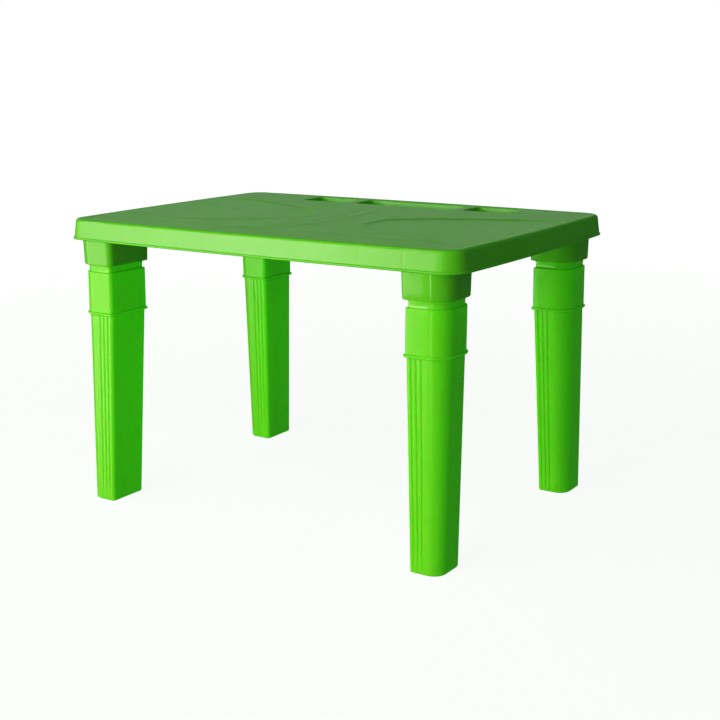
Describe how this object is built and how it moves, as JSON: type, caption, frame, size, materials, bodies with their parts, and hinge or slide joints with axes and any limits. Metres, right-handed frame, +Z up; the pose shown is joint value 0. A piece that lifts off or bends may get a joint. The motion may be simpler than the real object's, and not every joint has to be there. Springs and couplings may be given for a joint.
{
  "type": "children's table",
  "caption": "Low moulded plastic child's table with rounded corners, recessed pencil trays and push-fit tapered legs on pull-out leg extensions.",
  "frame": {"origin": "on the floor, under the middle of the tabletop", "axes": "+X along the long side, +Y towards the edge with the pencil trays, +Z up"},
  "size_m": [0.69, 0.49, 0.44],
  "materials": {
    "top_plastic": "satin moulded polypropylene, bright green",
    "extension_plastic": "glossy moulded polypropylene, bright green",
    "leg_plastic": "glossy moulded polypropylene, bright green"
  },
  "bodies": {
    "tabletop": {"tabletop": "top_plastic"},
    "leg_extension_front_left": {"leg_extension_front_left": "extension_plastic"},
    "leg_extension_front_right": {"leg_extension_front_right": "extension_plastic"},
    "leg_extension_back_left": {"leg_extension_back_left": "extension_plastic"},
    "leg_extension_back_right": {"leg_extension_back_right": "extension_plastic"},
    "leg_front_left": {"leg_front_left": "leg_plastic"},
    "leg_front_right": {"leg_front_right": "leg_plastic"},
    "leg_back_left": {"leg_back_left": "leg_plastic"},
    "leg_back_right": {"leg_back_right": "leg_plastic"}
  },
  "joints": [
    {"name": "extension_front_left_pull", "type": "slide", "parent": "tabletop", "child": "leg_extension_front_left", "axis": [0, 0, -1], "range_m": [0, 0.06]},
    {"name": "leg_front_left_pull", "type": "slide", "parent": "leg_extension_front_left", "child": "leg_front_left", "axis": [0, 0, -1], "range_m": [0, 0.045]},
    {"name": "extension_front_right_pull", "type": "slide", "parent": "tabletop", "child": "leg_extension_front_right", "axis": [0, 0, -1], "range_m": [0, 0.06]},
    {"name": "leg_front_right_pull", "type": "slide", "parent": "leg_extension_front_right", "child": "leg_front_right", "axis": [0, 0, -1], "range_m": [0, 0.045]},
    {"name": "extension_back_left_pull", "type": "slide", "parent": "tabletop", "child": "leg_extension_back_left", "axis": [0, 0, -1], "range_m": [0, 0.06]},
    {"name": "leg_back_left_pull", "type": "slide", "parent": "leg_extension_back_left", "child": "leg_back_left", "axis": [0, 0, -1], "range_m": [0, 0.045]},
    {"name": "extension_back_right_pull", "type": "slide", "parent": "tabletop", "child": "leg_extension_back_right", "axis": [0, 0, -1], "range_m": [0, 0.06]},
    {"name": "leg_back_right_pull", "type": "slide", "parent": "leg_extension_back_right", "child": "leg_back_right", "axis": [0, 0, -1], "range_m": [0, 0.045]}
  ]
}
